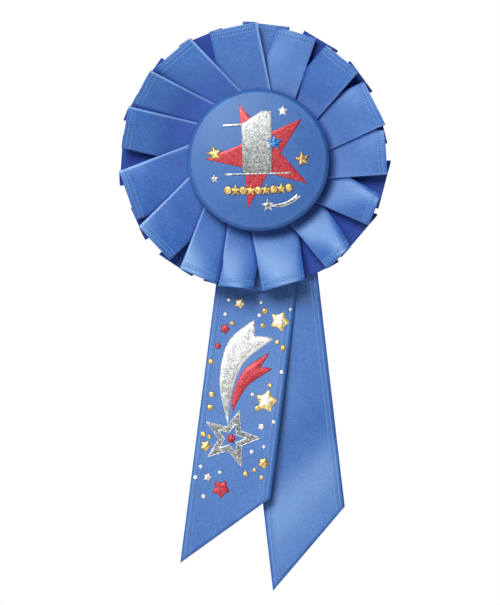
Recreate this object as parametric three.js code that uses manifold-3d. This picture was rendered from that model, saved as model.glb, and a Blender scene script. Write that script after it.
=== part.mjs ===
// Award ribbon: a box-pleated rosette with a fabric-covered button, two streamers and a bar pin.
// Millimetres, +X to the viewer's right, +Y away from the viewer (towards the wearer), +Z up.
// The origin is the middle of the pin bar's rear face, where the wearer's garment bears on it.

import * as THREE from 'three';
import { mergeVertices } from 'three/addons/utils/BufferGeometryUtils.js';
import Module from 'manifold-3d';

const wasm = await Module();
wasm.setup();

// ---------------------------------------------------------------- driving dimensions

const GAP = 0.3; // between neighbouring layers
const RIBBON_WIDTH = 25;
const RIBBON_THICKNESS = 0.4;
const CARD_THICKNESS = 0.7;
const CURVE_SEGMENTS = 14;
const RING_SEGMENTS = 48;

const PIN_ABOVE_CENTRE = 8; // the pin sits above the rosette's centre, so the rosette hangs face on
const BUTTON_OFFSET = { x: 1.4, z: -1.0 }; // the button is set a little off the ruffle's centre

// the ruffle: each pleat is its front panel's direction in degrees, its width at the outer edge, its
// height over the card there, and how far its clockwise edge stands over the other one there
const PLEATS = [
  [99, 14.8, 3.7, 1.7], [71, 12.4, 2.6, 2.5], [48, 12.7, 7.4, 1.8], [24, 14.6, 6.6, 2.4],
  [2, 13.5, 6.2, 0.9], [-24, 9.6, 6.2, -0.3], [-50, 9.7, 6.8, -1.3], [-77, 13.3, 7.0, -1.5],
  [-98, 10.5, 7.0, 0.1], [-115, 12.0, 6.9, -1.2], [-139, 13.9, 6.6, 1.3], [-163, 15.8, 5.4, 0.8],
  [-193, 12.7, 7.2, 2.1], [-211, 12.6, 7.6, 2.3], [-232, 14.2, 4.6, 0.9],
];
const RUFFLE_RADIUS = 40.6; // to the middle of a front panel's outer edge
const PANEL_FORESHORTENING = 0.6; // the panels rise outwards, so they are a little shorter in plan
const RUFFLE_INNER_RADIUS = RUFFLE_RADIUS - RIBBON_WIDTH + PANEL_FORESHORTENING;
const FIRST_FOLD_DEGREES = 95; // of the first pleat at the stitching, where the pleats are evenly spaced
const PANEL_SKEW = THREE.MathUtils.degToRad(2.5); // panels lean a little round the ring
const PANEL_SIDE_LEAN = THREE.MathUtils.degToRad(0.7); // keeps the fold walls off vertical
const PANEL_HEIGHT = { inner: 2.2, innerRise: 1.2, crown: 0.9 };
const FLARE = { start: 0.2, bend: 0.25 }; // shares of the width held flat by the button, then bending
const GAP_HEIGHT = 1.0; // of the ribbon seen between two front panels

// the streamers: lean from the vertical, positive leans out to the right, and lengths of the two edges
const STREAMERS = {
  left: { top: { x: 7.6, z: 13 }, lean: -7.3, leftEdge: 140.7, rightEdge: 117.4 },
  right: { top: { x: 1.5, z: 13 }, lean: 6.6, leftEdge: 146.2, rightEdge: 123.0 },
};

const RUFFLE_CARD_RADIUS = 24;
const BACKING_CARD_RADIUS = 27;
const STAPLE = { wire: 0.5, length: 11.5, clinch: 3.4, x: 4, heights: { upper: 9, lower: -9.6 } };
const STITCH = { ringRadius: 15.0, threadRadius: 0.35, sides: 6 };
const GLUE_PADS = {
  upper: { x: 0, z: 18.2, width: 22, height: 7 },
  side: { x: -17, z: -1, width: 7, height: 18 },
};
const TAPE = { length: 26, width: 4.2, thickness: 0.8 };

const BUTTON_RADIUS = 21.7;
const BUTTON_DEPTH = 7.5;
const BUTTON_LIFT = 3.6; // of the button's back off the card, over the inner ends of the pleats
const DOME_RISE = 2.4;
const COVER_THICKNESS = 0.4;
const PADDING_THICKNESS = 1.0;
const SHELL_THICKNESS = 0.4;
const COVER_LIP_RADIUS = 18.4;
const BACK_PLATE = { radius: 18.1, rim: 2.1, thickness: 0.4 };
const BUTTON_PAD_RADIUS = 7;

const BAR = { length: 33, width: 5, thickness: 0.7, holeRadius: 1.1, holeSpacing: 12 };
const PIN_AXIS_HEIGHT = 3.4; // of the hinge and catch axes behind the bar's rear face
const HINGE_X = -13.5;
const EAR = { radius: 1.55, thickness: 0.6, holeRadius: 0.62 };
const RIVET = { radius: 0.5, headRadius: 1.0, faceRadius: 0.7, headHeight: 0.4, rim: 0.2, headGap: 0.1 };
const STEM = { radius: 0.45, eyeRadius: 1.25, eyeWidth: 3.0, tipX: 13.3, taper: 4, tipRadius: 0.08 };
const HOUSING = { x: 11.6, length: 1.8, outer: 2.5, inner: 1.9, footHalfWidth: 2.3, footTop: 2.15 };
const COLLAR = { outer: 1.6, inner: 0.85, end: 15.0, flangeRadius: 2.3, flangeLength: 1.25 };
const TAB = { angle: -60, reach: 3.2, width: 1.0 };
const SLOT_HALF_ANGLE = 50; // of the openings in the catch housing and its collar

// ---------------------------------------------------------------- layers, from the back to the front

const layer = {};
layer.tapeBack = -BAR.thickness - GAP;
layer.tapeFront = layer.tapeBack - TAPE.thickness;
layer.backingBack = layer.tapeFront - GAP;
layer.backingFront = layer.backingBack - CARD_THICKNESS;
layer.clinchBack = layer.backingFront - GAP;
layer.clinchFront = layer.clinchBack - STAPLE.wire;
layer.rightStreamerBack = layer.clinchFront - GAP;
layer.leftStreamerBack = layer.rightStreamerBack - RIBBON_THICKNESS - GAP;
layer.ruffleCardBack = layer.leftStreamerBack - RIBBON_THICKNESS - GAP;
layer.ruffleCardFront = layer.ruffleCardBack - CARD_THICKNESS;
layer.ruffleBack = layer.ruffleCardFront - GAP;
layer.crownFront = layer.ruffleBack - STAPLE.wire;
layer.buttonBack = layer.ruffleBack - BUTTON_LIFT;
layer.buttonFront = layer.buttonBack - BUTTON_DEPTH;

// ---------------------------------------------------------------- materials

const finish = (color, roughness, metalness) => () =>
  new THREE.MeshStandardMaterial({ color, roughness, metalness });
const satin = finish(0x4a7bc8, 0.45, 0.0);
const thread = finish(0x3f6cb5, 0.7, 0.0);
const card = finish(0xe9e6dc, 0.9, 0.0);
const foam = finish(0xf1efe6, 0.95, 0.0);
const glue = finish(0xe6dfc4, 0.5, 0.0);
const tinplate = finish(0xc3c7cb, 0.35, 1.0);
const nickel = finish(0xd0d2d4, 0.22, 1.0);

// ---------------------------------------------------------------- geometry helpers

function outwardFacing(geometry) {
  geometry.deleteAttribute('normal');
  geometry.deleteAttribute('uv');
  const merged = mergeVertices(geometry, 1e-4);
  const { array } = merged.getAttribute('position');
  const index = Array.from(merged.getIndex().array);
  const corner = (i) => new THREE.Vector3().fromArray(array, 3 * index[i]);
  let volume = 0;
  for (let i = 0; i < index.length; i += 3) {
    volume += corner(i).dot(corner(i + 1).cross(corner(i + 2))) / 6;
  }
  if (volume < 0) index.reverse();
  merged.setIndex(index);
  return merged;
}

function toSolid(geometry) {
  const closed = outwardFacing(geometry);
  const mesh = new wasm.Mesh({
    numProp: 3,
    vertProperties: Float32Array.from(closed.getAttribute('position').array),
    triVerts: Uint32Array.from(closed.getIndex().array),
  });
  mesh.merge();
  return new wasm.Manifold(mesh);
}

function fromSolid(solid) {
  const { vertProperties, triVerts } = solid.getMesh();
  const geometry = new THREE.BufferGeometry();
  geometry.setAttribute('position', new THREE.BufferAttribute(vertProperties, 3));
  geometry.setIndex(Array.from(triVerts));
  return geometry;
}

const join = (...geometries) =>
  fromSolid(geometries.map(toSolid).reduce((whole, piece) => whole.add(piece)));

const cut = (geometry, ...tools) =>
  fromSolid(tools.map(toSolid).reduce((whole, tool) => whole.subtract(tool), toSolid(geometry)));

function piece(name, geometry, material) {
  const mesh = new THREE.Mesh(outwardFacing(geometry), material());
  mesh.name = name;
  return mesh;
}

// a body turned about the Y axis from a closed profile of [radius, y] pairs
function turned(profile, segments = RING_SEGMENTS) {
  return new THREE.LatheGeometry(profile.map(([r, y]) => new THREE.Vector2(r, y)), segments);
}

function disc(radius, back, front) {
  return turned([[0, back], [radius, back], [radius, front], [0, front]]);
}

// a flat shape drawn in X and Z, with its rear face at y = back and its front face nearer the viewer
function upright(shape, back, thickness) {
  const options = { depth: thickness, bevelEnabled: false, curveSegments: CURVE_SEGMENTS };
  return new THREE.ExtrudeGeometry(shape, options).rotateX(Math.PI / 2).translate(0, back, 0);
}

// a flat shape drawn in -Z and Y, extruded along X from x = start
function crosswise(shape, start, length) {
  const options = { depth: length, bevelEnabled: false, curveSegments: CURVE_SEGMENTS };
  return new THREE.ExtrudeGeometry(shape, options).rotateY(Math.PI / 2).translate(start, 0, 0);
}

function block(low, high) {
  const size = high.map((value, i) => value - low[i]);
  const middle = high.map((value, i) => (value + low[i]) / 2);
  return new THREE.BoxGeometry(...size).translate(...middle);
}

function circleHole(x, y, radius) {
  return new THREE.Path().absarc(x, y, radius, 0, 2 * Math.PI, true);
}

// ---------------------------------------------------------------- covered button

const FILLET_HEIGHT = 1.9;
const SHOULDER_INSET = 1.6;
const TURN_RADIUS = 0.8;
const DOME_STEPS = 5;
const FILLET_STEPS = 3;

// the outline of a domed cap from its crown to the foot of its side, as [radius, y] pairs
function capOutline(radius, crownY, footY) {
  const shoulder = radius - SHOULDER_INSET;
  const points = [];
  for (let i = 0; i <= DOME_STEPS; i++) {
    const share = i / DOME_STEPS;
    points.push([shoulder * share, crownY + DOME_RISE * share ** 2]);
  }
  for (let i = 1; i <= FILLET_STEPS; i++) {
    const angle = (i / FILLET_STEPS) * (Math.PI / 2);
    const r = shoulder + SHOULDER_INSET * Math.sin(angle);
    points.push([r, crownY + DOME_RISE + FILLET_HEIGHT * (1 - Math.cos(angle))]);
  }
  points.push([radius, footY]);
  return points;
}

// the same outline with its foot turned under towards the axis
function hemmedOutline(radius, crownY, backY, turn, lipRadius) {
  const points = capOutline(radius, crownY, backY - turn);
  for (let i = 1; i <= FILLET_STEPS; i++) {
    const angle = (i / FILLET_STEPS) * (Math.PI / 2);
    points.push([radius - turn * (1 - Math.cos(angle)), backY - turn * (1 - Math.sin(angle))]);
  }
  points.push([lipRadius, backY]);
  return points;
}

function makeButton() {
  const group = new THREE.Group();
  const crown = layer.buttonFront;
  const back = layer.buttonBack;

  const coverOutside = hemmedOutline(BUTTON_RADIUS, crown, back, TURN_RADIUS, COVER_LIP_RADIUS);
  const coverInside = hemmedOutline(
    BUTTON_RADIUS - COVER_THICKNESS, crown + COVER_THICKNESS, back - COVER_THICKNESS,
    TURN_RADIUS - COVER_THICKNESS, COVER_LIP_RADIUS,
  );
  group.add(piece('button_cover', turned([...coverOutside, ...coverInside.reverse()]), satin));

  const foot = back - COVER_THICKNESS - GAP;
  let radius = BUTTON_RADIUS - COVER_THICKNESS - GAP;
  let y = crown + COVER_THICKNESS + GAP;
  const paddingOutside = capOutline(radius, y, foot);
  const paddingInside = capOutline(radius - PADDING_THICKNESS, y + PADDING_THICKNESS, foot);
  group.add(piece('button_padding', turned([...paddingOutside, ...paddingInside.reverse()]), foam));

  radius -= PADDING_THICKNESS + GAP;
  y += PADDING_THICKNESS + GAP;
  const shellOutside = capOutline(radius, y, foot);
  const shellInside = capOutline(radius - SHELL_THICKNESS, y + SHELL_THICKNESS, foot);
  group.add(piece('button_shell', turned([...shellOutside, ...shellInside.reverse()]), tinplate));

  const plateFront = back - BACK_PLATE.thickness;
  const rimInside = BACK_PLATE.radius - BACK_PLATE.thickness;
  const backPlate = turned([
    [0, back], [BACK_PLATE.radius, back], [BACK_PLATE.radius, back - BACK_PLATE.rim],
    [rimInside, back - BACK_PLATE.rim], [rimInside, plateFront], [0, plateFront],
  ]);
  group.add(piece('button_back_plate', backPlate, tinplate));

  const pad = disc(BUTTON_PAD_RADIUS, layer.ruffleBack, back + GAP);
  group.add(piece('button_glue_pad', pad, glue));
  group.position.set(BUTTON_OFFSET.x, 0, BUTTON_OFFSET.z);
  return group;
}

// ---------------------------------------------------------------- pleated ribbon

const PANEL_STEPS = 5; // across each front panel
const RADIAL_SHARES = [0, 0.28, 0.45, 0.7, 1]; // from the inner edge to the outer edge

const direction = (angle) => new THREE.Vector2(Math.cos(angle), Math.sin(angle));

// how far forward the ruffle has flared, from 0 where the button holds it to 1 at its edge
function flare(share) {
  const bent = (out) => (out < FLARE.bend ? out ** 2 / (2 * FLARE.bend) : out - FLARE.bend / 2);
  return bent(Math.max(share - FLARE.start, 0)) / bent(1 - FLARE.start);
}

// a front panel's point in X and Z: across runs from -0.5 at the anticlockwise fold to 0.5
function panelPoint([degrees, width], innerSpan, across, share) {
  const angle = THREE.MathUtils.degToRad(degrees);
  const inner = direction(angle - across * innerSpan).multiplyScalar(RUFFLE_INNER_RADIUS);
  const clockwise = direction(angle - Math.PI / 2 + PANEL_SKEW);
  const outer = direction(angle).multiplyScalar(RUFFLE_RADIUS);
  outer.addScaledVector(clockwise, across * width);
  return inner.lerp(outer, share);
}

function panelHeight([, , outerHeight, outerRise], across, share) {
  const inner = PANEL_HEIGHT.inner + PANEL_HEIGHT.innerRise * across;
  const crown = PANEL_HEIGHT.crown * (1 - 4 * across * across);
  const outer = outerHeight + outerRise * across + crown;
  return THREE.MathUtils.lerp(inner, outer, flare(share));
}

// one radial row of the ribbon's front surface: points in X and Z with their height over the card
function ruffleRows() {
  const rows = [];
  const pitch = (2 * Math.PI) / PLEATS.length;
  const innerSpan = pitch - 3 * PANEL_SIDE_LEAN;
  const firstFold = THREE.MathUtils.degToRad(FIRST_FOLD_DEGREES);
  // how far a pleat's outer edge has drifted from its even place at the stitching; the last pleat
  // is followed by the first one, a whole turn on
  const driftOf = (k) => {
    const turn = 2 * Math.PI * Math.floor(k / PLEATS.length);
    return THREE.MathUtils.degToRad(PLEATS[k % PLEATS.length][0]) - turn - (firstFold - k * pitch);
  };
  PLEATS.forEach((pleat, k) => {
    const drift = driftOf(k);
    const front = (across, share) => panelHeight(pleat, across, share);
    const row = (across, lean, height) => RADIAL_SHARES.map((share) => {
      const point = panelPoint(pleat, innerSpan, across, share);
      point.rotateAround(new THREE.Vector2(), lean - drift * (1 - share));
      return { point, height: height(across, share) };
    });
    for (let i = 0; i <= PANEL_STEPS; i++) rows.push(row(i / PANEL_STEPS - 0.5, 0, front));
    rows.push(row(0.5, -PANEL_SIDE_LEAN, () => GAP_HEIGHT));
    const next = PLEATS[(k + 1) % PLEATS.length];
    const nextDrift = driftOf(k + 1);
    rows.push(RADIAL_SHARES.map((share) => {
      const point = panelPoint(next, innerSpan, -0.5, share);
      point.rotateAround(new THREE.Vector2(), PANEL_SIDE_LEAN - nextDrift * (1 - share));
      return { point, height: GAP_HEIGHT };
    }));
  });
  return rows;
}

// closes rows of front points against a flat back
function ringSolid(rows, back) {
  const across = rows[0].length;
  const positions = [];
  for (const row of rows) {
    for (const { point, height } of row) positions.push(point.x, back - height, point.y);
    for (const { point } of row) positions.push(point.x, back, point.y);
  }
  const front = (i, j) => (i % rows.length) * 2 * across + j;
  const rear = (i, j) => front(i, j) + across;
  const index = [];
  const quad = (a, b, c, d) => index.push(a, b, c, a, c, d);
  for (let i = 0; i < rows.length; i++) {
    for (let j = 0; j + 1 < across; j++) {
      quad(front(i, j), front(i, j + 1), front(i + 1, j + 1), front(i + 1, j));
      quad(rear(i, j), rear(i + 1, j), rear(i + 1, j + 1), rear(i, j + 1));
    }
    quad(front(i, 0), front(i + 1, 0), rear(i + 1, 0), rear(i, 0));
    const last = across - 1;
    quad(front(i, last), rear(i, last), rear(i + 1, last), front(i + 1, last));
  }
  const geometry = new THREE.BufferGeometry();
  geometry.setAttribute('position', new THREE.Float32BufferAttribute(positions, 3));
  geometry.setIndex(index);
  return geometry;
}

function makeRuffle() {
  const ribbon = piece('pleated_ribbon', ringSolid(ruffleRows(), layer.ruffleBack), satin);
  const section = [];
  for (let i = 0; i <= STITCH.sides; i++) {
    const angle = (i / STITCH.sides) * 2 * Math.PI;
    section.push([
      STITCH.ringRadius + STITCH.threadRadius * Math.cos(angle),
      layer.ruffleBack - PANEL_HEIGHT.inner / 2 + STITCH.threadRadius * Math.sin(angle),
    ]);
  }
  return [ribbon, piece('gathering_thread', turned(section), thread)];
}

// ---------------------------------------------------------------- streamers, cards and staples

// four holes through every stapled layer, a gap wider than the staples' legs all round
function legHoles() {
  const half = STAPLE.wire / 2 + GAP;
  const legX = STAPLE.length / 2 - STAPLE.wire / 2;
  const holes = [];
  for (const z of Object.values(STAPLE.heights)) {
    for (const x of [STAPLE.x - legX, STAPLE.x + legX]) {
      const low = [x - half, layer.ruffleBack, z - half];
      holes.push(block(low, [x + half, layer.clinchFront, z + half]));
    }
  }
  return holes;
}

function makeStreamer(name, { top, lean, leftEdge, rightEdge }, back) {
  const half = RIBBON_WIDTH / 2;
  const outline = new THREE.Shape();
  outline.moveTo(-half, 0);
  outline.lineTo(-half, -leftEdge);
  outline.lineTo(half, -rightEdge);
  outline.lineTo(half, 0);
  outline.closePath();
  const strip = upright(outline, back, RIBBON_THICKNESS);
  strip.rotateY(THREE.MathUtils.degToRad(-lean)).translate(top.x, 0, top.z);
  return piece(name, cut(strip, ...legHoles()), satin);
}

function makeStaple(name, z) {
  const { wire, length, clinch, x } = STAPLE;
  const outside = length / 2;
  const inside = outside - wire;
  const { clinchBack, clinchFront, ruffleBack, crownFront } = layer;
  const outline = new THREE.Shape([
    [-outside, crownFront], [outside, crownFront], [outside, clinchBack],
    [outside - clinch, clinchBack], [outside - clinch, clinchFront], [inside, clinchFront],
    [inside, ruffleBack], [-inside, ruffleBack], [-inside, clinchFront],
    [clinch - outside, clinchFront], [clinch - outside, clinchBack], [-outside, clinchBack],
  ].map(([px, py]) => new THREE.Vector2(px, py)));
  const wireForm = new THREE.ExtrudeGeometry(outline, { depth: wire, bevelEnabled: false });
  return piece(name, wireForm.translate(x, 0, z - wire / 2), tinplate);
}

function makeGluePad(name, { x, z, width, height }) {
  const low = [x - width / 2, layer.ruffleCardBack + GAP, z - height / 2];
  const high = [x + width / 2, layer.backingFront - GAP, z + height / 2];
  return piece(name, block(low, high), glue);
}

function makeRosette() {
  const group = new THREE.Group();
  const ruffleCard = disc(RUFFLE_CARD_RADIUS, layer.ruffleCardBack, layer.ruffleCardFront);
  const backingCard = disc(BACKING_CARD_RADIUS, layer.backingBack, layer.backingFront);
  group.add(
    makeButton(),
    ...makeRuffle(),
    piece('ruffle_card', cut(ruffleCard, ...legHoles()), card),
    makeStreamer('streamer_left', STREAMERS.left, layer.leftStreamerBack),
    makeStreamer('streamer_right', STREAMERS.right, layer.rightStreamerBack),
    makeStaple('staple_upper', STAPLE.heights.upper),
    makeStaple('staple_lower', STAPLE.heights.lower),
    makeGluePad('card_glue_upper', GLUE_PADS.upper),
    makeGluePad('card_glue_side', GLUE_PADS.side),
    piece('backing_card', backingCard, card),
  );
  group.position.z = -PIN_ABOVE_CENTRE;
  return group;
}

// ---------------------------------------------------------------- bar pin with its rolling catch

// a ring open over SLOT_HALF_ANGLE each side of +Y
function slottedRing(outer, inner) {
  const start = THREE.MathUtils.degToRad(90 + SLOT_HALF_ANGLE);
  const end = THREE.MathUtils.degToRad(450 - SLOT_HALF_ANGLE);
  const ring = new THREE.Shape();
  ring.absarc(0, PIN_AXIS_HEIGHT, outer, start, end, false);
  ring.absarc(0, PIN_AXIS_HEIGHT, inner, end, start, true);
  ring.closePath();
  return ring;
}

function makePinBase() {
  const half = BAR.width / 2;
  const straight = BAR.length / 2 - half;
  const outline = new THREE.Shape();
  outline.absarc(straight, 0, half, -Math.PI / 2, Math.PI / 2, false);
  outline.absarc(-straight, 0, half, Math.PI / 2, 1.5 * Math.PI, false);
  outline.closePath();
  for (const side of [-1, 1]) {
    outline.holes.push(circleHole((side * BAR.holeSpacing) / 2, 0, BAR.holeRadius));
  }
  const strip = upright(outline, 0, BAR.thickness);

  const foot = -BAR.thickness / 2;
  const earOutline = new THREE.Shape();
  earOutline.moveTo(HINGE_X - EAR.radius, foot);
  earOutline.lineTo(HINGE_X + EAR.radius, foot);
  earOutline.absarc(HINGE_X, PIN_AXIS_HEIGHT, EAR.radius, 0, Math.PI, false);
  earOutline.closePath();
  earOutline.holes.push(circleHole(HINGE_X, PIN_AXIS_HEIGHT, EAR.holeRadius));
  const earOptions = { depth: EAR.thickness, bevelEnabled: false, curveSegments: CURVE_SEGMENTS };
  const ear = (z) => new THREE.ExtrudeGeometry(earOutline, earOptions).translate(0, 0, z);

  const { x, length, outer, inner, footHalfWidth, footTop } = HOUSING;
  const housing = crosswise(slottedRing(outer, inner), x, length);
  const pillar = block([x, foot, -footHalfWidth], [x + length, footTop, footHalfWidth]);
  const bore = new THREE.CylinderGeometry(inner, inner, 2 * length, 2 * CURVE_SEGMENTS);
  bore.rotateZ(Math.PI / 2).translate(x + length / 2, PIN_AXIS_HEIGHT, 0);
  const openPillar = cut(pillar, bore);
  const base = join(strip, ear(half - EAR.thickness), ear(-half), housing, openPillar);
  return piece('pin_base', base, nickel);
}

function makePinRivet() {
  const shoulder = BAR.width / 2 + RIVET.headGap;
  const end = shoulder + RIVET.headHeight;
  const rivet = turned([
    [0, -end], [RIVET.faceRadius, -end], [RIVET.headRadius, RIVET.rim - end],
    [RIVET.headRadius, -shoulder], [RIVET.radius, -shoulder], [RIVET.radius, shoulder],
    [RIVET.headRadius, shoulder], [RIVET.headRadius, end - RIVET.rim],
    [RIVET.faceRadius, end], [0, end],
  ], CURVE_SEGMENTS);
  rivet.rotateX(Math.PI / 2).translate(HINGE_X, PIN_AXIS_HEIGHT, 0);
  return piece('pin_hinge_rivet', rivet, nickel);
}

function makePinStem() {
  const { radius, eyeRadius, eyeWidth, tipX, taper, tipRadius } = STEM;
  const side = eyeWidth / 2;
  const eye = turned([
    [EAR.holeRadius, -side], [eyeRadius, -side], [eyeRadius, side],
    [EAR.holeRadius, side], [EAR.holeRadius, -side],
  ], 2 * CURVE_SEGMENTS);
  eye.rotateX(Math.PI / 2).translate(HINGE_X, PIN_AXIS_HEIGHT, 0);
  const start = HINGE_X + (EAR.holeRadius + eyeRadius) / 2;
  const wire = turned([
    [0, start], [radius, start], [radius, tipX - taper], [tipRadius, tipX], [0, tipX],
  ], CURVE_SEGMENTS);
  wire.rotateZ(-Math.PI / 2).translate(0, PIN_AXIS_HEIGHT, 0);
  return piece('pin_stem', join(eye, wire), nickel);
}

function makeCatchCollar() {
  const sleeve = crosswise(slottedRing(COLLAR.outer, COLLAR.inner), HOUSING.x, COLLAR.end - HOUSING.x);
  const flangeStart = COLLAR.end - COLLAR.flangeLength;
  const flangeRing = slottedRing(COLLAR.flangeRadius, COLLAR.inner);
  const flange = crosswise(flangeRing, flangeStart, COLLAR.flangeLength);
  const tab = block(
    [flangeStart, (COLLAR.outer + COLLAR.inner) / 2, -TAB.width / 2],
    [COLLAR.end, TAB.reach, TAB.width / 2],
  );
  tab.rotateX(THREE.MathUtils.degToRad(TAB.angle)).translate(0, PIN_AXIS_HEIGHT, 0);
  return piece('catch_collar', join(sleeve, flange, tab), nickel);
}

function makePin() {
  const group = new THREE.Group();
  const low = [-TAPE.length / 2, layer.tapeFront, -TAPE.width / 2];
  const tape = block(low, [TAPE.length / 2, layer.tapeBack, TAPE.width / 2]);
  group.add(
    piece('pin_foam_tape', tape, foam),
    makePinBase(),
    makePinRivet(),
    makePinStem(),
    makeCatchCollar(),
  );
  return group;
}

// ---------------------------------------------------------------- assembly

const awardRibbon = new THREE.Group();
awardRibbon.add(makeRosette(), makePin());

export default awardRibbon;
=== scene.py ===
import math
import random
from collections import namedtuple

import bmesh
import bpy
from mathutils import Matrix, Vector, noise


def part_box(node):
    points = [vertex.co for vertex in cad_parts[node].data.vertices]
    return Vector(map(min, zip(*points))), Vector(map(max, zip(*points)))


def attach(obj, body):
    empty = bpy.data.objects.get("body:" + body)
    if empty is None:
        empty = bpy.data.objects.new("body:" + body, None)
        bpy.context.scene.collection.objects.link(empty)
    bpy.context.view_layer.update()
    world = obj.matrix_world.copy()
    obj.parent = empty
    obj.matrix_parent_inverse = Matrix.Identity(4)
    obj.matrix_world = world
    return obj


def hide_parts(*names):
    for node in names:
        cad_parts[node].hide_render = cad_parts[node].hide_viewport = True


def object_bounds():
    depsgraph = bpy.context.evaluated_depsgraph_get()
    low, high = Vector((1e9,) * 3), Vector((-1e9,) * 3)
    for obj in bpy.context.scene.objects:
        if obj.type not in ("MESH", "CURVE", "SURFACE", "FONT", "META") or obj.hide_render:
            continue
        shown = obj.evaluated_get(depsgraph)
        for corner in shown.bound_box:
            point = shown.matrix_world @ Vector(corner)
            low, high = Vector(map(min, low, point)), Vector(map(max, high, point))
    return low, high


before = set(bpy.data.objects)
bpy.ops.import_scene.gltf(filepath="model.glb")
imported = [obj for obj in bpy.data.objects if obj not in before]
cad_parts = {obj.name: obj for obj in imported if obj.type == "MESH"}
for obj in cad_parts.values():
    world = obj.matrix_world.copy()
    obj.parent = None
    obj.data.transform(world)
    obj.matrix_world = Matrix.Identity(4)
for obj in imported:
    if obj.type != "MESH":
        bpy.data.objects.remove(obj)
cad_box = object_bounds()

# The looks of an award ribbon: a box-pleated satin rosette with a covered button, two streamers
# and a bar pin. Blender objects are in metres; the design values below are in millimetres, with X
# to the viewer's right, Y away from the viewer and Z up, and mm() turns them into metres.

# ------------ driving dimensions

RIBBON_WIDTH = 25.0
RIBBON_THICKNESS = 0.3

# each pleat: its front panel's direction in degrees, its width, how far it crowns, how far its
# clockwise edge lifts over the other one, how much more than the rest it flares forward, and how
# far its anticlockwise edge bellies out over the tuck beside it
Pleat = namedtuple("Pleat", "degrees width crown tilt flare belly")
PLEATS = [Pleat(*row) for row in (
    (99, 14.8, 0.7, -0.4, -3, 0.2), (71, 12.4, 0.9, 0.4, -4.2, 0.3),
    (48, 12.7, 0.5, -0.9, 0.9, 0), (24, 14.6, 0.8, 0, 0, 0.2),
    (2, 13.5, 0.7, -2.9, -0.2, 0.2), (-24, 9.6, 1.7, -4, -0.4, 1.7),
    (-50, 9.7, 1.9, -3.4, 0.2, 1.9), (-77, 13.3, 1.5, -3.6, 0.4, 0.7),
    (-98, 10.5, 1.5, -3.4, 0.4, 0.4), (-115, 12, 1, -2.9, 0.3, 0.1),
    (-139, 13.9, 0.7, -1.9, 0, 0.2), (-163, 15.8, 0.9, -2.3, -1.2, 0.3),
    (-193, 12.7, 0.6, 0.4, 0.6, 0), (-211, 12.6, 0.4, 0.8, 1, 0),
    (-232, 14.2, 0.6, -1.4, -2, 0.1),
)]
PITCH = 360 / len(PLEATS)
FIRST_FOLD = 95  # direction in degrees of the first pleat at the stitching
RUFFLE_RADIUS = 40.6
RUFFLE_INNER_RADIUS = 16.2
PANEL_SKEW = 2.5  # in degrees, of a front panel's width from square to its direction

# the streamers: where the top is from the ruffle's centre, the lean in degrees, the edges' lengths
LEFT_STREAMER = {"top": (7.6, 13.0), "lean": -7.3, "edges": (140.7, 117.4)}
RIGHT_STREAMER = {"top": (1.5, 13.0), "lean": 6.6, "edges": (146.2, 123.0)}


def mm(x, y, z):
    return Vector((x, y, z)) / 1000


def box_mm(node):
    low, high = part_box(node)
    return low * 1000, high * 1000


def middle(node):
    low, high = box_mm(node)
    return (low + high) / 2


def polar(radius, degrees):
    angle = math.radians(degrees)
    return Vector((math.cos(angle), math.sin(angle))) * radius


def mix(a, b, share):
    return a + (b - a) * share


def smooth(share):
    share = min(max(share, 0.0), 1.0)
    return share * share * (3 - 2 * share)


def eased(value, start, length):
    """0 up to start and 1 from a length beyond it, smoothly."""
    return smooth((value - start) / length)


def hill(x, centre, width):
    return math.exp(-(((x - centre) / width) ** 2))


CENTRE = middle("ruffle_card")  # of the rosette
RUFFLE_BACK = box_mm("pleated_ribbon")[1].y

# ------------ meshes


def placed(name, data):
    thing = bpy.data.objects.new(name, data)
    bpy.context.scene.collection.objects.link(thing)
    return thing


def finished(name, bm, material):
    """Turns a bmesh in millimetres into a smooth piece that rides on the rosette."""
    bmesh.ops.scale(bm, vec=(0.001, 0.001, 0.001), verts=bm.verts)
    bmesh.ops.recalc_face_normals(bm, faces=bm.faces)
    mesh = bpy.data.meshes.new(name)
    bm.to_mesh(mesh)
    bm.free()
    mesh.shade_smooth()
    mesh.materials.append(material)
    piece = placed(name, mesh)
    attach(piece, "rosette")
    return piece


def thicken(piece, thickness):
    """Gives cloth its thickness, half on each side."""
    solid = piece.modifiers.new("thickness", "SOLIDIFY")
    solid.thickness = thickness / 1000
    solid.offset = 0
    solid.use_even_offset = False


def woven(name, columns, lengths, widths, marks, material, closed=False):
    """A ribbon from columns of points across its width.

    Its UV map "strip" holds the place along and across the ribbon in millimetres, and "fold" holds
    each point's marks: how strong a painted highlight lies on its crease and how much painted shade
    it gets, both from 0 to 1.
    """
    bm = bmesh.new()
    strip = bm.loops.layers.uv.new("strip")
    fold_marks = bm.loops.layers.uv.new("fold")
    rows = [[bm.verts.new(point) for point in column] for column in columns]
    count = len(rows)
    for i in range(count if closed else count - 1):
        for j in range(len(widths) - 1):
            corners = [(i, j), (i + 1, j), (i + 1, j + 1), (i, j + 1)]
            face = bm.faces.new([rows[m % count][n] for m, n in corners])
            for loop, (m, n) in zip(face.loops, corners):
                loop[strip].uv = (lengths[m], widths[n])
                loop[fold_marks].uv = marks[m % count][n]
    return finished(name, bm, material)


def bridge(bm, lower, upper):
    """Fills between two rings of vertices."""
    for i in range(len(lower)):
        j = (i + 1) % len(lower)
        bm.faces.new([lower[i], lower[j], upper[j], upper[i]])


POLE_WIDTH = 0.2  # an end ring narrower than this is closed to a point


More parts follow.
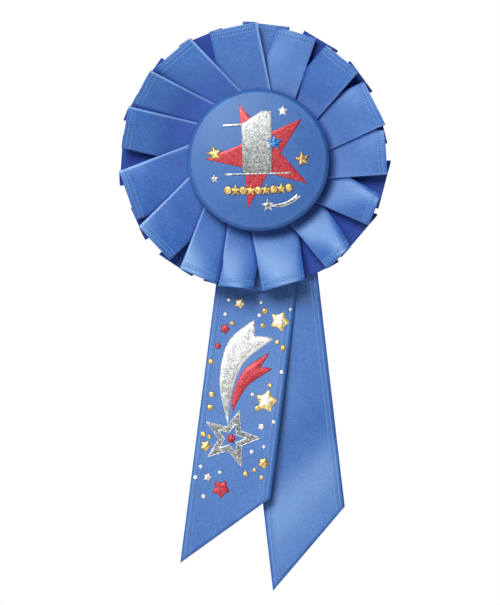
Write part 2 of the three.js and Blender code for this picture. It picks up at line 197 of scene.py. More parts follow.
def turned(name, profile, centre, segments, material, ripple=None):
    """A body turned about a line along Y, from (radius, y) points; ripple moves points outward."""
    bm = bmesh.new()
    rings = []
    for radius, y in profile:
        ring = []
        for i in range(segments):
            angle = math.tau * i / segments
            out = radius + (ripple(radius, y, angle) if ripple else 0)
            x, z = centre[0] + out * math.cos(angle), centre[1] + out * math.sin(angle)
            ring.append(bm.verts.new((x, y, z)))
        rings.append(ring)
    for inner, outer in zip(rings, rings[1:]):
        bridge(bm, inner, outer)
    for ring in (rings[0], rings[-1]):
        if (ring[0].co - ring[segments // 2].co).length < POLE_WIDTH:
            pole = sum((vertex.co for vertex in ring), Vector()) / segments
            bmesh.ops.pointmerge(bm, verts=ring, merge_co=pole)
    return finished(name, bm, material)


# ------------ materials


class Nodes:
    """A material's node tree, with short calls for its kinds of node."""

    def __init__(self, name, roughness, metallic=0.0):
        self.material = bpy.data.materials.new(name)
        self.material.use_nodes = True
        self.tree = self.material.node_tree
        self.shader = self.tree.nodes["Principled BSDF"]
        self.shader.inputs["Roughness"].default_value = roughness
        self.shader.inputs["Metallic"].default_value = metallic

    def add(self, kind, inputs=(), **settings):
        node = self.tree.nodes.new("ShaderNode" + kind)
        for name, value in settings.items():
            setattr(node, name, value)
        for socket, value in inputs:
            self.feed(node.inputs[socket], value)
        return node

    def feed(self, socket, value):
        if isinstance(value, bpy.types.NodeSocket):
            self.tree.links.new(value, socket)
        else:
            socket.default_value = value

    def math(self, operation, *values):
        return self.add("Math", enumerate(values), operation=operation).outputs[0]

    def times(self, a, b):
        return self.math("MULTIPLY", a, b)

    def span(self, value, low, high, out_low=0.0, out_high=1.0):
        """Value's place between low and high, eased and clamped, as out_low to out_high."""
        inputs = [(0, value), (1, low), (2, high), (3, out_low), (4, out_high)]
        return self.add("MapRange", inputs, interpolation_type="SMOOTHSTEP").outputs[0]

    def line(self, value, at, half_width):
        """1 on a line where value is at, falling to 0 at half_width from it."""
        away = self.math("ABSOLUTE", self.math("SUBTRACT", value, at))
        return self.span(away, half_width * 0.4, half_width, 1.0, 0.0)

    def blend(self, share, low, high):
        inputs = [(0, share), (6, low), (7, high)]
        return self.add("Mix", inputs, data_type="RGBA").outputs[2]

    def place(self, *scales):
        """The object's own coordinates in millimetres, each axis multiplied by its scale."""
        source = self.add("TexCoord").outputs["Object"]
        scale = [1000 * s for s in (scales or (1, 1, 1))]
        return self.add("VectorMath", [(0, source), (1, scale)], operation="MULTIPLY").outputs[0]

    def split(self, vector):
        return self.add("SeparateXYZ", [(0, vector)]).outputs

    def uv(self, name):
        return self.split(self.add("UVMap", uv_map=name).outputs[0])

    def noise(self, vector, scale, detail=2.0, roughness=0.5):
        inputs = zip(("Vector", "Scale", "Detail", "Roughness"), (vector, scale, detail, roughness))
        return self.add("TexNoise", inputs).outputs["Fac"]

    def flakes(self, vector, scale):
        """Three random values for each cell of a cell pattern."""
        cells = self.add("TexVoronoi", [("Vector", vector), ("Scale", scale)])
        return self.add("SeparateColor", [(0, cells.outputs["Color"])]).outputs

    def bump(self, height, depth):
        """A height, in units of depth millimetres, as a normal."""
        inputs = [("Strength", 1.0), ("Distance", depth / 1000), ("Height", height)]
        return self.add("Bump", inputs).outputs[0]

    def paint(self, colour, **inputs):
        self.feed(self.shader.inputs["Base Color"], colour)
        for name, value in inputs.items():
            self.feed(self.shader.inputs[name], value)
        return self.material


def rgb(*display):
    """A linear colour from 0 to 255 display values."""
    shares = [value / 255 for value in display]
    return (*(s / 12.92 if s <= 0.04045 else ((s + 0.055) / 1.055) ** 2.4 for s in shares), 1.0)


BLUE = rgb(54, 100, 172)
BLUE_DEEP = rgb(36, 74, 150)
BLUE_LIGHT = rgb(90, 134, 198)
# colour of the painted highlight along creases
CREASE_HIGHLIGHT_BLUE = rgb(140, 176, 228)
# colour of the painted shade on the satin
BLUE_SHADE = rgb(8, 34, 130)
RIBBON_DYE = (rgb(23, 68, 142), rgb(55, 108, 182))
BUTTON_DYE = (rgb(22, 64, 134), rgb(46, 97, 167))
SHADE_COVER = 0.92  # how much of the cloth's own colour the deepest shade hides
SHADE_DULLING = 0.52  # roughness that the deepest shade adds
GLOSS_RANGE = 0.08  # of roughness, from the smoothest slub to the roughest


def satin(nodes, dye, weave, colour, bump_height, depth, smoothest, shaded=0.0):
    """Blue satin over a weave height, with slubs and a slow mottling between its two dye colours.

    colour draws on the plain cloth. shaded is how much painted shade darkens and dulls the cloth,
    from 0 to 1, and counts on faces that look forward.
    """
    mottling = nodes.noise(nodes.place(), 0.11, 3.0, 0.6)
    slub = nodes.noise(nodes.place(), 2.4, 2.0, 0.8)
    shade = nodes.math("MULTIPLY_ADD", slub, 0.8, nodes.times(mottling, 0.2))
    ground = nodes.blend(nodes.span(shade, 0.34, 0.66), *dye)
    inputs = nodes.shader.inputs
    inputs["Specular IOR Level"].default_value = 1.0
    inputs["Specular Tint"].default_value = rgb(214, 242, 244)
    cloth = nodes.blend(nodes.times(weave, 0.4), ground, BLUE_DEEP)
    # painted shade, only on faces that look forward
    facing = nodes.split(nodes.add("TexCoord").outputs["Normal"])[1]
    shaded = nodes.times(shaded, nodes.span(facing, 0.0, 0.3, 1.0, 0.0))
    cover = nodes.times(shaded, SHADE_COVER)
    shown = nodes.blend(cover, colour(cloth), BLUE_SHADE)
    gloss = nodes.span(slub, 0.2, 0.8, smoothest, smoothest + GLOSS_RANGE)
    rough = nodes.math("MULTIPLY_ADD", shaded, SHADE_DULLING, gloss)
    return nodes.paint(shown, Roughness=rough, Normal=nodes.bump(bump_height, depth))


def woven_height(nodes, along, across, pitches):
    """The height of a weave, from 0 to 1, from the pitches of its threads along and across."""
    threads = [
        nodes.math("SINE", nodes.times(place, math.tau / pitch))
        for place, pitch in zip((along, across), pitches)
    ]
    return nodes.math("MULTIPLY_ADD", nodes.times(*threads), 0.5, 0.5)


# the ladder woven inside each selvedge: its two cords' places from the edge, and its rungs
CORDS_AT = (1.2, 2.5)
CORD_REACH = 0.22
RUNG_PITCH = 0.8
RUNG_REACH = 0.24


def make_ribbon_satin():
    """Woven ribbon with a ladder of two cords and rungs inside each selvedge; painted highlight on
    creases.
    """
    nodes = Nodes("ribbon_satin", 0.45)
    along, across, _ = nodes.uv("strip")
    crease, shade, _ = nodes.uv("fold")
    from_edge = nodes.math("MINIMUM", across, nodes.math("SUBTRACT", RIBBON_WIDTH, across))
    cords = nodes.math("MAXIMUM", *(nodes.line(from_edge, at, CORD_REACH) for at in CORDS_AT))
    between = nodes.line(from_edge, sum(CORDS_AT) / 2, 0.8)
    rungs = nodes.line(nodes.math("PINGPONG", along, RUNG_PITCH), RUNG_PITCH / 2, RUNG_REACH)
    ladder = nodes.math("MAXIMUM", cords, nodes.times(rungs, between))
    pits = nodes.times(between, nodes.math("SUBTRACT", 1.0, ladder))
    weave = woven_height(nodes, along, across, (0.46, 0.62))
    height = nodes.math("MULTIPLY_ADD", weave, 0.25, ladder)
    height = nodes.math("SUBTRACT", height, nodes.times(pits, 0.8))

    def colour(cloth):
        corded = nodes.blend(nodes.times(ladder, 0.6), cloth, BLUE_LIGHT)
        pitted = nodes.blend(nodes.times(pits, 0.6), corded, BLUE_DEEP)
        # a painted highlight along the creases
        return nodes.blend(nodes.times(crease, 0.8), pitted, CREASE_HIGHLIGHT_BLUE)

    return satin(nodes, RIBBON_DYE, weave, colour, height, 0.07, 0.42, shade)


def make_button_satin():
    """Plain close satin."""
    nodes = Nodes("button_satin", 0.42)
    across, _, up = nodes.split(nodes.place())
    weave = woven_height(nodes, across, up, (0.5, 0.42))
    return satin(nodes, BUTTON_DYE, weave, lambda cloth: cloth, weave, 0.02, 0.52)


def make_glitter(name, dark, mid, light, flake, depth, painted_light_heights=None):
    """Foil broken into flakes that each catch the light, with painted light paler upwards between
    heights.
    """
    nodes = Nodes(name, 0.3, 0.35)
    cell = nodes.flakes(nodes.place(), flake)
    fine = nodes.flakes(nodes.place(), flake * 2.3)
    value = nodes.math("MULTIPLY_ADD", fine[1], 0.45, nodes.times(cell[0], 0.55))
    # painted light: paler towards the top, between the two heights
    if painted_light_heights:
        up = nodes.split(nodes.place())[2]
        value = nodes.math("ADD", value, nodes.span(up, *painted_light_heights, -0.16, 0.2))
    low = nodes.blend(nodes.span(value, 0.15, 0.5), dark, mid)
    colour = nodes.blend(nodes.span(value, 0.5, 0.85), low, light)
    rough = nodes.span(cell[2], 0.0, 1.0, 0.22, 0.5)
    return nodes.paint(colour, Roughness=rough, Normal=nodes.bump(value, depth))


def make_foil(name, dark, light):
    """Embossed mirror foil with small creases."""
    nodes = Nodes(name, 0.25, 0.6)
    crease = nodes.noise(nodes.place(), 1.3, 3.0, 0.6)
    colour = nodes.blend(nodes.span(crease, 0.35, 0.65), dark, light)
    rough = nodes.span(crease, 0.3, 0.7, 0.2, 0.38)
    return nodes.paint(colour, Roughness=rough, Normal=nodes.bump(crease, 0.12))


def make_metal(name, dark, light, roughness):
    """Plated steel with drawn lines, handling marks and slightly dulled plating."""
    nodes = Nodes(name, roughness, 1.0)
    drawn = nodes.noise(nodes.place(0.15, 3.0, 3.0), 0.9, 2.0, 0.5)
    marks = nodes.noise(nodes.place(), 0.3, 3.0, 0.6)
    colour = nodes.blend(nodes.span(marks, 0.3, 0.7), dark, light)
    rough = nodes.span(marks, 0.3, 0.7, roughness * 1.4, roughness * 0.8)
    return nodes.paint(colour, Roughness=rough, Normal=nodes.bump(drawn, 0.0015))


def make_card():
    """Grey-white board with pressed fibres and a few flecks."""
    nodes = Nodes("card_board", 0.85)
    fibre = nodes.noise(nodes.place(1, 1, 3.0), 1.1, 6.0, 0.75)
    fleck = nodes.noise(nodes.place(), 2.4, 2.0, 0.4)
    board = nodes.blend(nodes.span(fibre, 0.3, 0.7), rgb(196, 190, 175), rgb(222, 218, 206))
    colour = nodes.blend(nodes.span(fleck, 0.68, 0.74), board, rgb(150, 138, 118))
    return nodes.paint(colour, Normal=nodes.bump(fibre, 0.06))


def make_foam(name, low, high, cell_size):
    """Open foam with round cells."""
    nodes = Nodes(name, 0.95)
    cells = nodes.add("TexVoronoi", [("Vector", nodes.place()), ("Scale", 1 / cell_size)])
    depth = nodes.span(cells.outputs["Distance"], 0.1, 0.7)
    return nodes.paint(nodes.blend(depth, low, high), Normal=nodes.bump(depth, cell_size * 0.4))


def make_glue():
    """Set hot glue: milky amber with slow ripples and small bubbles."""
    nodes = Nodes("hot_glue", 0.35)
    ripple = nodes.noise(nodes.place(), 0.4, 2.0)
    bubble = nodes.flakes(nodes.place(), 1.4)[0]
    colour = nodes.blend(nodes.span(ripple, 0.3, 0.7), rgb(196, 182, 140), rgb(220, 212, 182))
    colour = nodes.blend(nodes.span(bubble, 0.86, 0.95, 0.0, 0.4), colour, rgb(240, 238, 226))
    return nodes.paint(colour, Normal=nodes.bump(ripple, 0.3))


def make_thread():
    """Twisted polyester thread."""
    nodes = Nodes("stitch_thread", 0.65)
    inputs = [("Vector", nodes.place(1, 2.5, 1)), ("Scale", 0.7), ("Distortion", 1.2)]
    twist = nodes.add("TexWave", inputs)
    colour = nodes.blend(twist.outputs["Fac"], BLUE_DEEP, BLUE)
    return nodes.paint(colour, Normal=nodes.bump(twist.outputs["Fac"], 0.08))


def make_floor_paint():
    nodes = Nodes("studio_floor", 0.9)
    grain = nodes.noise(nodes.place(), 0.02, 3.0)
    return nodes.paint(nodes.blend(grain, rgb(216, 216, 214), rgb(226, 226, 224)))


RIBBON_SATIN = make_ribbon_satin()
BUTTON_SATIN = make_button_satin()
# the silver and numeral glitter get painted light, paler towards their tops
SILVER_GLITTER = make_glitter(
    "silver_glitter", rgb(112, 116, 115), rgb(184, 188, 187), rgb(220, 223, 222), 3.1, 0.05,
    painted_light_heights=(CENTRE.z - 82, CENTRE.z - 52))
NUMERAL_GLITTER = make_glitter(
    "numeral_glitter", rgb(96, 100, 99), rgb(158, 162, 161), rgb(208, 211, 210), 3.1, 0.06,
    painted_light_heights=(middle("button_cover").z - 3, middle("button_cover").z + 13))
DARK_GLITTER = make_glitter(
    "dark_glitter", rgb(52, 58, 58), rgb(116, 122, 122), rgb(196, 200, 198), 3.1, 0.06)
RED_GLITTER = make_glitter(
    "red_glitter", rgb(140, 18, 32), rgb(178, 46, 58), rgb(206, 84, 90), 3.1, 0.05)
BLUE_GLITTER = make_glitter(
    "blue_glitter", rgb(20, 40, 96), rgb(36, 110, 196), rgb(96, 176, 238), 2.4, 0.08)
SILVER_FOIL = make_foil("silver_foil", rgb(168, 170, 172), rgb(238, 238, 236))
WHITE_FOIL = make_foil("white_foil", rgb(222, 224, 224), rgb(255, 255, 252))
GOLD_FOIL = make_foil("gold_foil", rgb(176, 134, 62), rgb(244, 214, 138))
PALE_GOLD = make_foil("pale_gold_foil", rgb(214, 176, 96), rgb(252, 236, 178))
CREAM_FOIL = make_foil("cream_foil", rgb(238, 226, 196), rgb(255, 250, 232))
NICKEL = make_metal("nickel_plate", rgb(178, 180, 182), rgb(222, 223, 224), 0.22)
TINPLATE = make_metal("tin_plate", rgb(160, 164, 168), rgb(206, 209, 212), 0.34)
CARD = make_card()
TAPE_FOAM = make_foam("tape_foam", rgb(205, 200, 186), rgb(238, 236, 228), 0.5)
PADDING_FOAM = make_foam("padding_foam", rgb(214, 212, 204), rgb(244, 243, 238), 0.8)
GLUE = make_glue()
THREAD = make_thread()

CAD_FINISHES = {
    TINPLATE: ("button_shell", "button_back_plate", "staple_upper", "staple_lower"),
    NICKEL: ("pin_base", "pin_hinge_rivet", "pin_stem", "catch_collar"),
    CARD: ("ruffle_card", "backing_card"),
    TAPE_FOAM: ("pin_foam_tape",),
    GLUE: ("button_glue_pad", "card_glue_upper", "card_glue_side"),
    THREAD: ("gathering_thread",),
}


def finish_cad_nodes():
    for material, names in CAD_FINISHES.items():
        for name in names:
            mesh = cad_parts[name].data
            mesh.materials.clear()
            mesh.materials.append(material)


# ------------ the pleated ruffle

FRONT_STEPS = 24
RETURN_STEPS = 5
BACK_STEPS = 9
FOLD_STEPS = 5
ROWS = 30  # across the ribbon's width
FOLD_DROP = 0.42  # between the middles of two layers at a sharp fold
TUCK_MARGIN = 0.9  # each tuck ends this far short of the next panel's edge, at the stitching
OUTER_TUCK = 4.1  # depth of a tuck at the outer edge
# heights forward of the ruffle's back, at the stitching and at the outer edge
FRONT_LIFT = (1.3, 5.6)
FRONT_RISE = (1.7, 2.1)  # from a front panel's anticlockwise edge to its clockwise one
BACK_LIFT = (0.2, 0.8)
TUCK_LIFT = (0.65, 1.25)  # of the anticlockwise tuck's lower layer
TUCK_TOP_LIFT = (1.65, 1.45)  # of the clockwise tuck's upper layer
ARCH_LEAN = 0.8  # below 1, a front panel's arch peaks nearer its anticlockwise edge
ARCH_FULLNESS = 0.85  # below 1, the arch is fuller than a parabola
FLARE_START = 0.2  # share of the ribbon's width that the button holds flat
FLARE_BEND = 0.25  # share over which it then bends forward
BELLY_GROWTH = 0.45  # share over which a belly grows
TUCK_WAVE = 0.35  # how far the tucks wave forward and back at the outer edge
BACK_BOW = 0.25  # how far a pleat's back bows backwards there
TUCK_GAPS = (0.5, 0.3)  # how far each tuck's layer ends from the tuck's fold
DENT_DEPTH = 0.22  # of the small dents at the outer edge
DENT_SIZE = 7

# painted shades and crease highlights, from 0 to 1, set to the photo; they stay where they are on
# the cloth
BUTTON_SHADE = 0.6  # how much the button keeps the light off the ruffle round it
SHADE_CENTRE = Vector((2.4, -1.8))  # of that shade, from the rosette's centre
SHADE_RADIUS = 21.6  # at which it begins to fade
SHADE_FADE = 3.2  # distance over which it fades
# how much painted shade each pleat's tuck gets, where it is less than the rest
LIGHTER_TUCK_SHADES = {0: 0.25, 7: 0.3}
OUTER_TUCK_SHADE = 0.88  # a tuck's painted shade at the outer edge, as a share of that at its inner end
# painted shade on each front panel close to the button
INNER_SHADES = [0.3, 0.15, 0.35, 0.3, 0.3, 0.2, 0.1, 0.15, 0.2, 0.25, 0.3, 0.4, 0.6, 0.6, 0.5]
CONTACT_SHADE = 0.95  # painted shadow on a front panel where the fold of the panel before it rests
CONTACT_START = 0.5  # how far from that fold its shade begins to fade
CONTACT_FADE = 1.5  # distance over which it fades
# painted highlight along each front panel's clockwise fold, strongest on the left and top, facing
# the light
CREASE_HIGHLIGHTS = [0.9, 0.3, 0.35, 0.3, 0.35, 0.15, 0.15, 0.2, 0.2, 0.5, 0.9, 0.9, 1.0, 1.0, 1.0]
CREASE_HIGHLIGHT_TURN = 0.8  # share of a crease's painted highlight that carries round the fold
LOOSE = random.Random(5)
# how far each tuck's two folds stand out beyond the front panels' edges
TUCKS_PROUD = [(LOOSE.uniform(0.3, 1.5), LOOSE.uniform(0.3, 1.5)) for _ in PLEATS]


def pleat(k):
    return PLEATS[k % len(PLEATS)]


def flare(share):
    """How far forward the ruffle has flared, from 0 where the button holds it to 1 at its edge."""
    def bent(out):
        return out * out / (2 * FLARE_BEND) if out < FLARE_BEND else out - FLARE_BEND / 2
    return bent(max(share - FLARE_START, 0.0)) / bent(1 - FLARE_START)


def panel_edge(k, share):
    """The anticlockwise edge point of front panel k, and the direction across it, seen face on."""
    outer = polar(RUFFLE_RADIUS, pleat(k).degrees)
    inner = polar(RUFFLE_INNER_RADIUS, FIRST_FOLD - k * PITCH)
    across = polar(1, pleat(k).degrees - 90 + PANEL_SKEW)
    return mix(inner, outer, share) - across * pleat(k).width / 2, across


def tuck_end(k, share):
    """How far from front panel k's anticlockwise edge its clockwise tuck reaches."""
    edge, across = panel_edge(k, 0)
    next_edge, _ = panel_edge(k + 1, 0)
    return mix((next_edge - edge).dot(across) - TUCK_MARGIN, pleat(k).width - OUTER_TUCK, share)


def front_height(k, a, share):
    """How far forward of the ruffle's back front panel k lies, arched where it has flared.

    a is 0 at its anticlockwise edge and 1 at its clockwise one.
    """
    inner = FRONT_LIFT[0] + FRONT_RISE[0] * a
    outer = FRONT_LIFT[1] + pleat(k).flare + FRONT_RISE[1] * a + pleat(k).tilt * (a - 0.5)
    arch = pleat(k).crown * (1 - (2 * a ** ARCH_LEAN - 1) ** 2) ** ARCH_FULLNESS
    return mix(inner, outer, flare(share)) + arch * flare(share)


def belly_at(k, share):
    """How far panel k's anticlockwise edge bellies out of its straight line."""
    return pleat(k).belly * smooth(share / BELLY_GROWTH) * (1 - share ** 3)


def resting_fold(k, share):
    """How far across front panel k, face on, the fold of the panel before it rests."""
    edge, across = panel_edge(k, share)
    before, before_across = panel_edge(k - 1, share)
    return (before + before_across * pleat(k - 1).width - edge).dot(across)


def front_shade(k, from_fold, share):
    """Painted shade on front panel k: more towards the button, and close to the fold resting on it.
    """
    inner = INNER_SHADES[k] * (1 - eased(share, start=0.3, length=0.55))
    return max(inner, CONTACT_SHADE * (1 - eased(from_fold, CONTACT_START, CONTACT_FADE)))


def fold(edge, across, at, turn, start, end, marks):
    """An arc round a fold, from height start to height end; turn is 1 where it faces clockwise.

    marks are the painted crease highlight at its start, which fades to nothing, and the painted
    shades at its start and end. Each point is its place face on, its height, its crease highlight
    and its painted shade.
    """
    radius = abs(start - end) / 2
    points = []
    for i in range(FOLD_STEPS):
        angle = math.pi * i / (FOLD_STEPS - 1)
        reach = at - turn * radius * (1 - math.sin(angle))
        height = mix(start, end, (1 - math.cos(angle)) / 2)
        share = i / (FOLD_STEPS - 1)
        crease, shade = marks[0] * (1 - share), mix(*marks[1:], share)
        points.append((edge + across * reach, height, crease, shade))
    return points


def pleat_path(k, share):
    """Pleat k's ribbon at one distance from the centre, from fold to fold, in fold()'s points."""
    width = pleat(k).width
    edge, across = panel_edge(k, share)
    next_edge, next_across = panel_edge(k + 1, share)
    radius = FOLD_DROP / 2
    reach = tuck_end(k, share)
    next_reach = mix(tuck_end(k + 1, 0) - TUCK_MARGIN, OUTER_TUCK, share)
    wave = TUCK_WAVE * noise.noise(Vector((k * 2.7, share * 2.0, 4.0)))
    outward = (edge - panel_edge(k, 0)[0]).normalized() if share else Vector((0, 0))
    proud, next_proud = (outward * (value * share) for value in TUCKS_PROUD[k])
    back, tuck, tuck_top = (
        mix(*lift, share) + wave * share for lift in (BACK_LIFT, TUCK_LIFT, TUCK_TOP_LIFT))
    high = front_height(k, 1, share)
    # painted shade in the tucks between the front panels
    dark = LIGHTER_TUCK_SHADES.get(k, 1.0) * mix(1, OUTER_TUCK_SHADE, share * share)

    path = []
    belly, next_belly = belly_at(k, share), belly_at(k + 1, share)
    rest = resting_fold(k, share)
    for i in range(FRONT_STEPS + 1):
        a = i / FRONT_STEPS
        at = radius + (width - 2 * radius) * a - belly * (1 - a) ** 2
        # a painted highlight on the clockwise fold, and painted shade over the panel
        crease = CREASE_HIGHLIGHTS[k] if a == 1 else 0.0
        panel_shade = front_shade(k, at - rest, share)
        path.append((edge + across * at, front_height(k, a, share), crease, panel_shade))
    turned_highlight = CREASE_HIGHLIGHT_TURN * CREASE_HIGHLIGHTS[k]
    path += fold(edge, across, width, 1, high, high - FOLD_DROP, (turned_highlight, 0, dark))[1:]
    for i in range(1, RETURN_STEPS):
        a = i / RETURN_STEPS
        at = mix(width - radius, reach + TUCK_GAPS[0], a)
        height = mix(high - FOLD_DROP, tuck_top, smooth(a))
        path.append((edge + across * at + proud * a, height, 0, dark))
    path += fold(edge + proud, across, reach, -1, tuck_top, back, (0, dark, dark))
    start = edge + proud + across * (reach + (tuck_top - back) / 2)
    end = next_edge + next_proud + next_across * (next_reach - (tuck - back) / 2)
    for i in range(1, BACK_STEPS):
        a = i / BACK_STEPS
        height = back - BACK_BOW * share * math.sin(math.pi * a)
        path.append((mix(start, end, a), height, 0, dark))
    path += fold(next_edge + next_proud, next_across, next_reach, 1, back, tuck, (0, dark, dark))
    low = front_height(k + 1, 0, share)
    for i in range(1, RETURN_STEPS):
        a = i / RETURN_STEPS
        at = mix(next_reach - TUCK_GAPS[1], radius - next_belly, a)
        out = next_edge + next_proud * (1 - a)
        height = mix(tuck, low - FOLD_DROP, smooth(a))
        path.append((out + next_across * at, height, 0, dark))
    last = fold(next_edge, next_across, -next_belly, -1, low - FOLD_DROP, low, (0, dark, 0))
    return path + last[:-1]


def button_shade(point):
    """How much the button has kept the light off a point of the ruffle, from 0 to 1."""
    away = (point - SHADE_CENTRE).length
    return BUTTON_SHADE * (1 - eased(away, SHADE_RADIUS, SHADE_FADE))


def make_ruffle():
    # the rows lie closer together towards the outer edge
    shares = [mix(i / ROWS, smooth(0.5 + 0.5 * i / ROWS) * 2 - 1, 0.5) for i in range(ROWS + 1)]
    pleats = range(len(PLEATS))
    loops = [sum((pleat_path(k, share) for k in pleats), []) for share in shares]
    columns, marks, lengths = [], [], [0.0]
    across_steps = len(loops[0])
    reference = loops[ROWS * 3 // 4]
    for i in range(across_steps):
        column, column_marks = [], []
        for j, share in enumerate(shares):
            point, height, crease, shade = loops[j][i]
            column_marks.append((crease, max(shade, button_shade(point))))
            dent = noise.noise(Vector((point.x / DENT_SIZE, point.y / DENT_SIZE, i * 0.01)))
            y = RUFFLE_BACK - height - DENT_DEPTH * share * dent
            column.append((CENTRE.x + point.x, y, CENTRE.z + point.y))
        columns.append(column)
        marks.append(column_marks)
        here, there = reference[i], reference[(i + 1) % across_steps]
        step = math.hypot((here[0] - there[0]).length, here[1] - there[1])
        lengths.append(lengths[-1] + step)
    widths = [RIBBON_WIDTH * share for share in shares]
    ruffle = woven("ruffle_ribbon", columns, lengths, widths, marks, RIBBON_SATIN, closed=True)
    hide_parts("pleated_ribbon")
    thicken(ruffle, RIBBON_THICKNESS)


# ------------ the streamers

HALF_WIDTH = RIBBON_WIDTH / 2
DRIFT = {"start": 52, "slope": 0.062, "bend": 20}


def drift(down):
    """How far both streamers drift forward below the ruffle, in a bend and then straight."""
    free, bend = max(down - DRIFT["start"], 0.0), DRIFT["bend"]
    return DRIFT["slope"] * (free * free / (2 * bend) if free < bend else free - bend / 2)


def left_wave(across, down):
    """How far forward the left streamer lies: it bows, twists a little and cups at its tip."""
    side = across / HALF_WIDTH
    free = eased(down, start=50, length=45)
    bow = 0.7 * math.sin((down - 42) / 33)
    turn = 0.5 * hill(down, centre=95, width=14) * side
    cup = 0.35 * eased(down, start=100, length=35) * side ** 2
    return drift(down) + free * (0.8 + (bow + turn)) + cup


def right_wave(across, down):
    """How far forward the right streamer lies, with a soft dent and swell slantwise across it."""
    free = eased(down, start=46, length=40)
    slant = down + 0.75 * across
    dent = -1.0 * hill(slant, centre=109, width=11) + 0.3 * hill(slant, centre=130, width=14)
    bow = dent - 0.5 + 0.5 * math.sin(down / 21)
    return drift(down) + free * bow - 0.3 * free * (across / HALF_WIDTH) ** 2


def streamer_point(streamer, back, wave, across, down, lift=0.0):
    """A point on a streamer's front; across is from its middle line and down from its top."""
    lean = math.radians(streamer["lean"])
    x = streamer["top"][0] + across * math.cos(lean) + down * math.sin(lean)
    z = streamer["top"][1] + across * math.sin(lean) - down * math.cos(lean)
    return Vector((CENTRE.x + x, back - wave(across, down) - lift, CENTRE.z + z))


def make_streamer(name, node, streamer, wave, shade):
    """A streamer in place of a CAD node; shade is the painted shadow of the ruffle just below it.
    """
    steps_across, steps_down = 26, 96
    back = middle(node).y
    left, right = streamer["edges"]
    columns, lengths = [], []
    for i in range(steps_down + 1):
        share = i / steps_down
        column = []
        for j in range(steps_across + 1):
            side = j / steps_across
            down = mix(left, right, side) * share
            across = RIBBON_WIDTH * (side - 0.5)
            column.append(streamer_point(streamer, back, wave, across, down))
        columns.append(column)
        lengths.append(left * share)
    widths = [RIBBON_WIDTH * j / steps_across for j in range(steps_across + 1)]
    # painted shadow of the ruffle, fading out down the streamer's top
    shades = [shade * (1 - eased(length, start=50, length=30)) for length in lengths]
    marks = [[(0, dark)] * len(widths) for dark in shades]
    ribbon = woven(name, columns, lengths, widths, marks, RIBBON_SATIN)
    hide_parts(node)
    thicken(ribbon, RIBBON_THICKNESS)


LEFT_BACK = middle("streamer_left").y


def on_streamer(across, up, lift):
    """Where a print on the left streamer goes, from across and minus down."""
    lift += RIBBON_THICKNESS / 2
    return streamer_point(LEFT_STREAMER, LEFT_BACK, left_wave, across, -up, lift)


# ------------ the covered button

BUTTON_LOW, BUTTON_HIGH = box_mm("button_cover")
BUTTON_CENTRE = middle("button_cover").xz
BUTTON_RADIUS = (BUTTON_HIGH.x - BUTTON_LOW.x) / 2
CROWN = BUTTON_LOW.y
BUTTON_BACK = BUTTON_HIGH.y
DOME_RISE = 2.3
DOME_POWER = 2.2
SHOULDER_INSET = 1.6
SHOULDER_DEPTH = 1.9
HEM_TURN = 0.8  # radius of the turn from the side to the hem
HEM_RADIUS = 18.4
RIM_CREASE = {"depth": 0.16, "angle": 0.72, "width": 0.09}
GATHERS = {"depth": 0.16, "count": 46}
TIP_RADIUS = 0.05  # of the ring that closes to a point at a turned shape's middle
COVER_THICKNESS = 0.35


def dome_y(radius):
    return CROWN + DOME_RISE * (radius / (BUTTON_RADIUS - SHOULDER_INSET)) ** DOME_POWER


def make_button_cover():
    """Satin drawn over the button: a dome, a creased rim, a side and a gathered hem at the back."""
    shoulder = BUTTON_RADIUS - SHOULDER_INSET
    profile = [(shoulder * i / 22, dome_y(shoulder * i / 22)) for i in range(23)]
    profile[0] = (TIP_RADIUS, CROWN)
    steps = 10
    for i in range(1, steps + 1):
        angle = math.pi / 2 * i / steps
        crease = RIM_CREASE["depth"] * hill(angle, RIM_CREASE["angle"], RIM_CREASE["width"])
        profile.append((
            shoulder + (SHOULDER_INSET - crease) * math.sin(angle),
            CROWN + DOME_RISE + SHOULDER_DEPTH * (1 - math.cos(angle)) + crease,
        ))
    side_top = profile[-1][1]
    hem_y = BUTTON_BACK - HEM_TURN
    profile += [(BUTTON_RADIUS, mix(side_top, hem_y, i / 5)) for i in range(1, 6)]
    for i in range(1, 5):
        angle = math.pi / 2 * i / 4
        radius = BUTTON_RADIUS - HEM_TURN * (1 - math.cos(angle))
        profile.append((radius, BUTTON_BACK - HEM_TURN * (1 - math.sin(angle))))
    turned_in = BUTTON_RADIUS - HEM_TURN
    profile += [(mix(turned_in, HEM_RADIUS, i / 4), BUTTON_BACK) for i in range(1, 5)]

    def gathers(radius, y, angle):
        drawn = smooth((y - side_top + 1.0) / (BUTTON_BACK - side_top))
        uneven = 0.6 + 0.4 * noise.noise(Vector((math.cos(angle) * 3, math.sin(angle) * 3, 0)))
        return -GATHERS["depth"] * drawn * uneven * (1 + math.cos(angle * GATHERS["count"]))

    cover = turned(
        "button_satin_cover", profile, BUTTON_CENTRE, 184, BUTTON_SATIN, gathers)
    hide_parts("button_cover")
    thicken(cover, COVER_THICKNESS)


